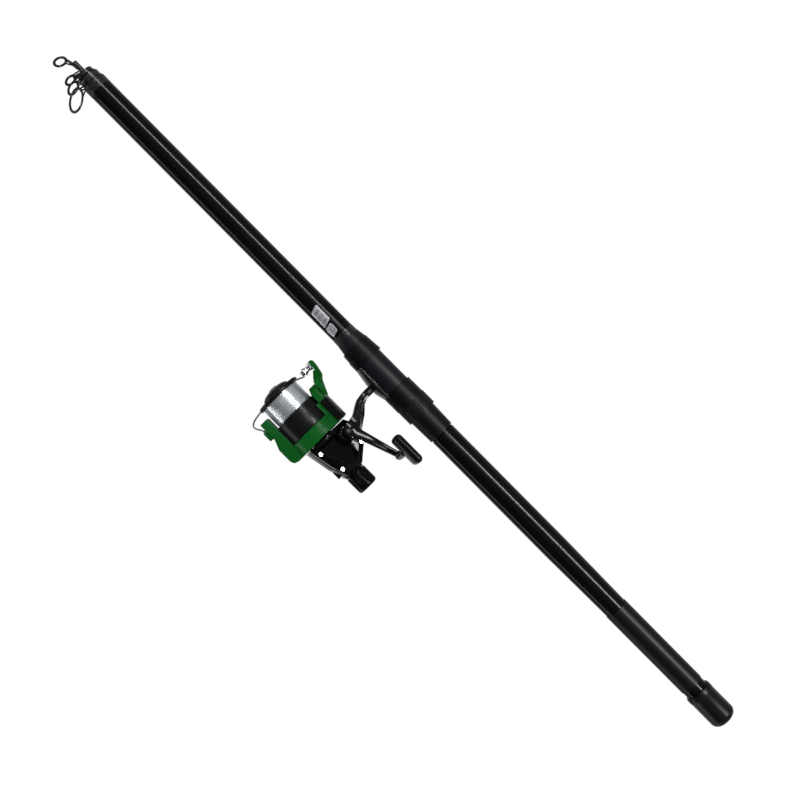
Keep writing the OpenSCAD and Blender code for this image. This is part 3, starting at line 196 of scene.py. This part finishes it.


# The edge colour given to a finish lightens its convex edges: rubbed wear and painted edge highlight (on the
# green rotor a brighter green).
M = {
    "blank": surface("blank_lacquer", (0.0010, 0.0010, 0.0013), (0.0024, 0.0024, 0.0032), rough=(0.17, 0.2),
                     grain=90, bump=0.004, stretch=(0.05, 1, 1), specular=0.05, smudge=12),
    "grip": ribbed("grip_rubber", (0.002, 0.002, 0.0025), (0.005, 0.005, 0.006), (0.32, 0.42), "lattice",
                   420, 0.3, specular=0.055),
    "cap": surface("cap_rubber", (0.0015, 0.0015, 0.002), (0.004, 0.004, 0.0045), rough=(0.28, 0.38),
                   grain=1300, bump=0.1, wear_and_edge_highlight=(0.03, 0.03, 0.03), specular=0.06),
    "seat": surface("seat_satin", (0.005, 0.0055, 0.0075), (0.010, 0.011, 0.015), rough=(0.36, 0.46),
                    grain=1500, bump=0.08, wear_and_edge_highlight=(0.05, 0.05, 0.055), specular=0.05),
    "hood": surface("hood_matte", (0.002, 0.002, 0.003), (0.005, 0.005, 0.0065), rough=(0.34, 0.44),
                    grain=1500, bump=0.12, wear_and_edge_highlight=(0.05, 0.05, 0.055), specular=0.04),
    "body": surface("reel_black", (0.0015, 0.0015, 0.002), (0.004, 0.004, 0.005), rough=(0.09, 0.14),
                    grain=1200, bump=0.02, wear_and_edge_highlight=(0.04, 0.04, 0.04), specular=0.035),
    "rotor_green": surface("rotor_green", (0.0025, 0.085, 0.009), (0.005, 0.135, 0.017), rough=(0.26, 0.36),
                           grain=1000, bump=0.05, wear_and_edge_highlight=(0.03, 0.28, 0.06), specular=0.03),
    "spool_black": surface("spool_black", (0.0015, 0.0015, 0.002), (0.004, 0.004, 0.005),
                           rough=(0.26, 0.34), grain=900, bump=0.03, wear_and_edge_highlight=(0.05, 0.05, 0.05), specular=0.05),
    "line": surface("wound_line", (0.25, 0.265, 0.285), (0.42, 0.44, 0.46), rough=(0.2, 0.3), grain=600,
                    bump=0.1, stretch=(1, 0.2, 0.2), metal=0.6, specular=0.4),
    "frame_black": surface("guide_black", (0.002, 0.002, 0.0025), (0.006, 0.006, 0.007), rough=(0.22, 0.34),
                           grain=1600, bump=0.08, wear_and_edge_highlight=(0.05, 0.05, 0.05), specular=0.1),
    "ring": surface("bright_chrome", (0.20, 0.205, 0.215), (0.34, 0.35, 0.36), rough=(0.1, 0.2), grain=1800,
                    bump=0.05, metal=1.0),
    "ring_insert": surface("ring_insert", (0.05, 0.05, 0.055), (0.10, 0.10, 0.11), rough=(0.12, 0.2),
                           grain=1800, bump=0.04, metal=1.0),
    "wire": surface("bail_steel", (0.07, 0.07, 0.075), (0.14, 0.14, 0.15), rough=(0.16, 0.26), grain=1800,
                    bump=0.05, metal=1.0),
    "steel": surface("machined_steel", (0.34, 0.35, 0.37), (0.48, 0.49, 0.51), rough=(0.22, 0.36),
                     grain=1500, bump=0.1, metal=1.0, aniso=0.3),
    "button": surface("button_grey", (0.10, 0.105, 0.115), (0.16, 0.165, 0.175), rough=(0.3, 0.42),
                      grain=1500, bump=0.1),
    "gear": surface("cast_alloy", (0.30, 0.30, 0.32), (0.44, 0.44, 0.46), rough=(0.32, 0.48), grain=900,
                    bump=0.2, metal=1.0),
    "brass": surface("brass", (0.45, 0.30, 0.10), (0.62, 0.44, 0.17), rough=(0.2, 0.36), grain=1200, bump=0.1,
                     metal=1.0),
    "washer_fibre": surface("fibre_washer", (0.15, 0.10, 0.05), (0.26, 0.18, 0.09), rough=(0.6, 0.75),
                            grain=700, bump=0.4),
    "nylon": surface("nylon", (0.5, 0.5, 0.47), (0.62, 0.62, 0.59), rough=(0.4, 0.55), grain=1200, bump=0.1),
    "alloy": surface("turned_alloy", (0.30, 0.31, 0.33), (0.42, 0.43, 0.45), rough=(0.26, 0.4), grain=1200,
                     bump=0.12, metal=1.0, stretch=(6, 1, 1)),
    "pad": surface("pad_rubber", (0.006, 0.006, 0.007), (0.014, 0.014, 0.016), rough=(0.6, 0.75),
                   grain=1100, bump=0.3, specular=0.1),
    "knob": surface("knob_rubber", (0.0015, 0.0015, 0.002), (0.004, 0.004, 0.005), rough=(0.12, 0.18),
                    grain=1400, bump=0.05, wear_and_edge_highlight=(0.04, 0.04, 0.04), specular=0.05),
}
LABEL = surface("silver_label", (0.24, 0.24, 0.27), (0.40, 0.40, 0.43), rough=(0.32, 0.5), grain=260,
                bump=0.15, metal=0.2, smudge=90)
LABEL_INK = surface("label_grey", (0.10, 0.10, 0.12), (0.20, 0.20, 0.23), rough=(0.4, 0.55), grain=500,
                    bump=0.1)
THREAD = ribbed("winding_thread", (0.005, 0.005, 0.006), (0.013, 0.013, 0.014), (0.2, 0.3), "wave", 700, 0.5)


# ---------------------------------------------------------------- pieces
def smooth_faces(o, angle=35):
    """Shades o smoothly, with hard edges where its faces meet at more than angle."""
    for p in o.data.polygons:
        p.use_smooth = True
    split = o.modifiers.new("split", "EDGE_SPLIT")
    split.split_angle = math.radians(angle)


def carry(node, bevel=0.0, segments=2, angle=35):
    """Dresses a CAD node in its slot's material, with softly broken edges."""
    o = NODES[node]
    o.data.materials.clear()
    o.data.materials.append(M[SLOT_OF[node]])
    weld = o.modifiers.new("weld", "WELD")
    weld.merge_threshold = 2e-6
    if bevel:
        b = o.modifiers.new("bevel", "BEVEL")
        b.width = bevel
        b.segments = segments
        b.limit_method = "ANGLE"
        b.angle_limit = math.radians(angle)
        b.use_clamp_overlap = True
        b.harden_normals = False
    smooth_faces(o, angle if not bevel else 50)
    return o


BEVELS = {
    "butt_cap": 0.0006, "seat_tube": 0.0003, "seat_fixed_hood": 0.0005, "seat_sliding_hood": 0.0005,
    "seat_nut": 0.0004, "reel_body": 0.0006, "side_cover": 0.0006, "handle_arm": 0.0006, "handle_cap": 0.0005,
    "rotor": 0.0005, "arm_covers": 0.0007, "bail_arm": 0.0004, "bail_hub": 0.0004, "line_roller": 0.0003,
    "spool": 0.0004, "release_button": 0.0004, "drag_knob": 0.0004, "reverse_lever": 0.0003,
}
for n in NODES:
    carry(n, BEVELS.get(n, 0.0))


# Stations along the rod are millimetres from the butt end; turn is the angle about the rod from the line
# to the camera,
# positive towards the reel's side of the picture.
NOSE = 24.0
JOINTS = {j["name"]: j for j in frame["record"]["behaviour"]["joints"]}
REEL = Vector((JOINTS["handle_turn"]["pos_m"][0], 0, JOINTS["rotor_spin"]["pos_m"][2]))


def rod_point(d, r, turn):
    """The point at station d, at radius r from the rod's axis in millimetres."""
    a = math.radians(turn)
    v = (TO_CAM * math.cos(a) - ACROSS * math.sin(a)) * r / 1000
    return Vector(((NOSE - d) / 1000, v.y, v.z))


def build(name, verts, faces, body, mat, angle=35):
    """Makes a piece from points and faces and lets it ride on a body."""
    me = bpy.data.meshes.new(name)
    me.from_pydata([tuple(v) for v in verts], [], faces)
    me.materials.append(mat)
    o = bpy.data.objects.new(name, me)
    bpy.context.scene.collection.objects.link(o)
    bm = bmesh.new()
    bm.from_mesh(me)
    bmesh.ops.recalc_face_normals(bm, faces=bm.faces)
    bm.to_mesh(me)
    bm.free()
    smooth_faces(o, angle)
    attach(o, body)
    return o


def grid_shell(name, outer, inner, body, mat):
    """A thin closed sheet between two equal grids of points."""
    rows, cols = len(outer), len(outer[0])
    verts = [v for row in outer for v in row] + [v for row in inner for v in row]
    n = rows * cols
    faces = []
    for i in range(rows - 1):
        for j in range(cols - 1):
            a, b, c, d = i * cols + j, i * cols + j + 1, (i + 1) * cols + j + 1, (i + 1) * cols + j
            faces += [(a, b, c, d), (n + d, n + c, n + b, n + a)]
    for i in range(rows - 1):
        for j in (0, cols - 1):
            a, b = i * cols + j, (i + 1) * cols + j
            faces.append((a, b, n + b, n + a))
    for j in range(cols - 1):
        for i in (0, rows - 1):
            a, b = i * cols + j, i * cols + j + 1
            faces.append((b, a, n + a, n + b))
    return build(name, verts, faces, body, mat)


FRONT_R = 15.6               # radius of the blank in front of the seat, in millimetres
LABEL_SUNK = 0.15            # how far a label's under side lies in the blank
LABEL_LIFT, BAR_LIFT = 0.06, 0.12


def rod_patch(name, d_front, d_rear, turn_low, turn_high, r, lift, shear, round_mm, mat,
              body=ROOT):
    """A label on the blank: a sheared rectangle with rounded corners, bent to the tube."""
    cols, rows = 22, 14
    outer, inner = [], []
    half_d, mid_d = (d_front - d_rear) / 2, (d_front + d_rear) / 2
    half_a, mid_a = (turn_high - turn_low) / 2, (turn_high + turn_low) / 2
    arc = math.radians(half_a) * r
    for i in range(rows):
        v = -1 + 2 * i / (rows - 1)
        across = abs(v) * arc
        cut = 0.0
        if across > arc - round_mm:
            k = across - (arc - round_mm)
            cut = round_mm - math.sqrt(max(round_mm ** 2 - k * k, 0))
        ro, ri = [], []
        for j in range(cols):
            u = -1 + 2 * j / (cols - 1)
            d = mid_d + u * (half_d - cut) - shear * v
            ro.append(rod_point(d, r + lift, mid_a + v * half_a))
            ri.append(rod_point(d, r - LABEL_SUNK, mid_a + v * half_a))
        outer.append(ro)
        inner.append(ri)
    return grid_shell(name, outer, inner, body, mat)


rod_patch("label_long", 727.0, 702.5, -5.5, 46, FRONT_R, LABEL_LIFT, 2.0, 1.2, LABEL)
rod_patch("label_short", 699.5, 686.0, 5, 51, FRONT_R, LABEL_LIFT, 1.4, 2.6, LABEL)
for k, (d0, d1, a0, a1) in enumerate([(722.5, 719.5, 4, 34), (717, 711.5, 5, 12), (717, 713, 18, 25),
                                      (717, 710, 31, 37), (708, 705.5, 6, 36)]):
    rod_patch(f"label_bar_{k + 1}", d0, d1, a0, a1, FRONT_R, BAR_LIFT, 0.5, 0.4, LABEL_INK)
for k, (d0, d1, a0, a1) in enumerate([(697, 688.4, 12, 15), (697, 688.4, 41, 44), (696, 689.4, 25, 31)]):
    rod_patch(f"label_line_{k + 1}", d0, d1, a0, a1, FRONT_R, BAR_LIFT, 0.3, 0.3, LABEL_INK)


def revolve(name, profile, body, mat, centre=REEL, axis_x=-1.0, segments=128, angle=35,
            wobble=None):
    """Turns a closed profile of (radius, station) points in millimetres about a line along X."""
    verts, faces = [], []
    n = len(profile)
    for k in range(segments):
        a = 2 * math.pi * k / segments
        for i, (r, u) in enumerate(profile):
            q = r + (wobble(i, a) if wobble else 0.0)
            verts.append(centre + Vector((axis_x * u / 1000, q * math.cos(a) / 1000, q * math.sin(a) / 1000)))
    for k in range(segments):
        m = (k + 1) % segments
        for i in range(n):
            j = (i + 1) % n
            faces.append((k * n + i, k * n + j, m * n + j, m * n + i))
    return build(name, verts, faces, body, mat, angle)


WINDING_CORE = 17.2          # inner radius of the wound line, just clear of the spool's core
WINDING_TURNS = 52


def wound_line():
    """The line on the spool: lays of thin turns side by side, a little uneven."""
    lo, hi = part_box("line_winding")
    u0, u1 = (REEL.x - hi.x) * 1000, (REEL.x - lo.x) * 1000
    r_out = (hi.z - lo.z) * 500
    pitch = (u1 - u0 - 0.2) / WINDING_TURNS
    uneven = [random.uniform(-0.10, 0.0) for _ in range(WINDING_TURNS)]
    prof = [(WINDING_CORE, u0 + 0.1)]
    drift = []
    for k in range(WINDING_TURNS):
        c = u0 + 0.1 + (k + 0.5) * pitch
        end = min(k, WINDING_TURNS - 1 - k)
        drop = 0.5 * math.exp(-end / 1.5)
        for f, h in ((-0.5, -0.16), (-0.25, -0.03), (0.0, 0.0), (0.25, -0.03)):
            prof.append((r_out - 0.12 + h + uneven[k] - drop, c + f * pitch))
            drift.append(k)
    prof.append((r_out - 0.8, u1 - 0.1))
    prof.append((WINDING_CORE, u1 - 0.1))

    def wobble(i, a):
        if i == 0 or i >= len(prof) - 2:
            return 0.0
        k = drift[i - 1]
        return 0.05 * math.sin(3 * a + k * 0.7) + 0.04 * math.sin(a + k * 0.21)

    o = revolve("wound_line", prof, BODY_OF["line_winding"], M["line"], segments=144, angle=75,
                wobble=wobble)
    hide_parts("line_winding")


wound_line()


def thread_band(name, d0, d1, r0, r1, body):
    """Varnished thread wound round a joint: one fine ridge for each turn."""
    turns = int((d1 - d0) / 0.35)
    pitch = (d1 - d0) / turns
    prof = [(r0 - 0.4, d0)]
    for k in range(turns):
        f = (k + 0.5) / turns
        r = r0 + (r1 - r0) * f
        c = d0 + (k + 0.5) * pitch
        prof += [(r - 0.08, c - pitch * 0.5), (r, c - pitch * 0.2), (r, c + pitch * 0.2)]
    prof.append((r1 - 0.4, d1))
    return revolve(name, prof, body, THREAD, centre=Vector((NOSE / 1000, 0, 0)), segments=72,
                   angle=60)


thread_band("seat_whipping", 672.2, 682, FRONT_R + 0.55, FRONT_R + 0.25, ROOT)
thread_band("mouth_whipping", 1110, 1122.5, FRONT_R + 0.12, FRONT_R + 0.12, ROOT)


PATH_STEPS = 16              # steps along a mould line
OUTSIDE = 200                # millimetres from the reel's middle plane, beyond its handle side


def onto(nodes, start, way):
    """The first point of these CAD nodes' skins that a line from start meets."""
    hits = []
    for node in nodes:
        bm = bmesh.new()
        bm.from_mesh(NODES[node].data)
        hits.append(BVHTree.FromBMesh(bm).ray_cast(start, way)[0])
        bm.free()
    return min((h for h in hits if h), key=lambda h: (h - start).length)


def bead(name, path, r, body, mat, sides=10):
    """A raised mould line along a path of points, half sunk and tapered at both ends."""
    verts, faces = [], []
    n = len(path)
    for i, p in enumerate(path):
        along = (path[min(i + 1, n - 1)] - path[max(i - 1, 0)]).normalized()
        side = along.cross(TO_CAM).normalized()
        up = side.cross(along)
        end = abs(2 * i / (n - 1) - 1)
        q = r / 1000 * max(math.sqrt(1 - end ** 4), 0.12)
        for k in range(sides):
            a = 2 * math.pi * k / sides
            verts.append(p + side * (q * math.cos(a)) + up * (q * math.sin(a)))
    for i in range(n - 1):
        for k in range(sides):
            m = (k + 1) % sides
            faces.append((i * sides + k, i * sides + m, (i + 1) * sides + m, (i + 1) * sides + k))
    faces += [tuple(range(sides)), tuple(range((n - 1) * sides, n * sides))]
    return build(name, verts, faces, body, mat, 60)


def reel_bead(name, start, end, r):
    """A mould line on the reel's handle side, between two places given as station and height."""
    path = []
    for i in range(PATH_STEPS + 1):
        u = start[0] + (end[0] - start[0]) * i / PATH_STEPS
        h = start[1] + (end[1] - start[1]) * i / PATH_STEPS
        path.append(onto(("side_cover", "reel_body"), REEL + Vector((-u, -OUTSIDE, h)) / 1000,
                         Vector((0, 1, 0))))
    bead(name, path, r, ROOT, M["body"])


def rod_bead(name, node, start, end, r, slot):
    """A mould line on a piece round the rod, between two places given as station and turn."""
    path = []
    for i in range(PATH_STEPS + 1):
        d = start[0] + (end[0] - start[0]) * i / PATH_STEPS
        turn = start[1] + (end[1] - start[1]) * i / PATH_STEPS
        outside = rod_point(d, 60, turn)
        path.append(onto((node,), outside, (rod_point(d, 0, turn) - outside).normalized()))
    bead(name, path, r, BODY_OF[node], M[slot])


reel_bead("side_line_upper", (-2.5, -5.3), (-10.5, -1.0), 0.45)
reel_bead("side_line_middle", (-4.2, -12.9), (-22.5, -5.9), 0.5)
reel_bead("side_line_rear", (-25.5, -5.6), (-35.5, -2.4), 0.45)
for k, (start, end) in enumerate([((658, -16), (640, 12)), ((658, 34), (640, 14)), ((655, -14), (655, 32))]):
    rod_bead(f"hood_line_{k + 1}", "seat_fixed_hood", start, end, 0.4, "hood")


# ---------------------------------------------------------------- light, floor and background
def area(name, where, size, size_y, power, highlights=False, x_along=Vector((1, 0, 0))):
    """A soft lamp aimed at the object: it lights either the colours alone, or the highlights alone."""
    light = bpy.data.lights.new(name, "AREA")
    light.shape = "RECTANGLE"
    light.size, light.size_y = size, size_y
    light.energy = power
    o = bpy.data.objects.new(name, light)
    bpy.context.scene.collection.objects.link(o)
    o.visible_camera = False
    o.visible_diffuse = not highlights
    o.visible_glossy = highlights
    z = (Vector(where) - Vector((where[0], AIM.y, AIM.z))).normalized()
    x = (x_along - z * x_along.dot(z)).normalized()
    m = Matrix((x, z.cross(x), z)).transposed().to_4x4()
    m.translation = Vector(where)
    o.matrix_world = m
    return o


def around(angle, dist, x=AIM.x):
    """A place beside the rod, at an angle from the line to the camera towards the picture's upper side."""
    a = math.radians(angle)
    d = TO_CAM * math.cos(a) + ACROSS * math.sin(a)
    return Vector((x, AIM.y, AIM.z)) + d * dist


area("strip_tip", around(36, 1.9, -1.48), 1.4, 0.14, 85, highlights=True)
area("strip_butt", around(36, 1.9, 0.32), 1.4, 0.14, 135, highlights=True)
area("strip_reel", around(22, 1.9, -0.60), 0.42, 0.30, 14, highlights=True)
area("strip_under", around(-90, 0.8), 3.2, 0.12, 14, highlights=True)
area("soft_front", around(-12, 2.1), 1.6, 1.2, 32)
area("soft_top", around(70, 2.0), 2.4, 1.2, 14)

WORLD_FILL = 0.16            # how far the white background lights the colours; it shows at full strength
world = bpy.data.worlds.new("studio")
bpy.context.scene.world = world
world.use_nodes = True
wn, wl = world.node_tree.nodes, world.node_tree.links
seen = add(wn, "ShaderNodeLightPath")
shown = seen.outputs["Is Camera Ray"]
for kind in ("Is Glossy Ray", "Is Transmission Ray"):
    either = add(wn, "ShaderNodeMath", operation="MAXIMUM")
    wl.new(shown, either.inputs[0])
    wl.new(seen.outputs[kind], either.inputs[1])
    shown = either.outputs[0]
strength = add(wn, "ShaderNodeMapRange")
strength.inputs["To Min"].default_value = WORLD_FILL
strength.inputs["To Max"].default_value = 1.0
wl.new(shown, strength.inputs["Value"])
wn["Background"].inputs["Color"].default_value = (1, 1, 1, 1)
wl.new(strength.outputs["Result"], wn["Background"].inputs["Strength"])


FLOOR_Z = -0.9
FLOOR_R = 1.3


def make_floor():
    m, nodes, links, bsdf = new_material("floor_paper")
    bsdf.inputs["Base Color"].default_value = (0.86, 0.86, 0.86, 1)
    bsdf.inputs["Roughness"].default_value = 0.9
    t = add(nodes, "ShaderNodeTexNoise", Scale=60.0, Detail=4.0)
    b = add(nodes, "ShaderNodeBump", Strength=0.05, Distance=0.001)
    links.new(t.outputs["Fac"], b.inputs["Height"])
    links.new(b.outputs["Normal"], bsdf.inputs["Normal"])
    bm = bmesh.new()
    bmesh.ops.create_circle(bm, cap_ends=True, radius=FLOOR_R, segments=96)
    me = bpy.data.meshes.new("floor")
    bm.to_mesh(me)
    bm.free()
    o = bpy.data.objects.new("floor", me)
    bpy.context.scene.collection.objects.link(o)
    o.location = (AIM.x, 0, FLOOR_Z)
    me.materials.append(m)


make_floor()

scene = bpy.context.scene
scene.view_settings.view_transform = "Standard"
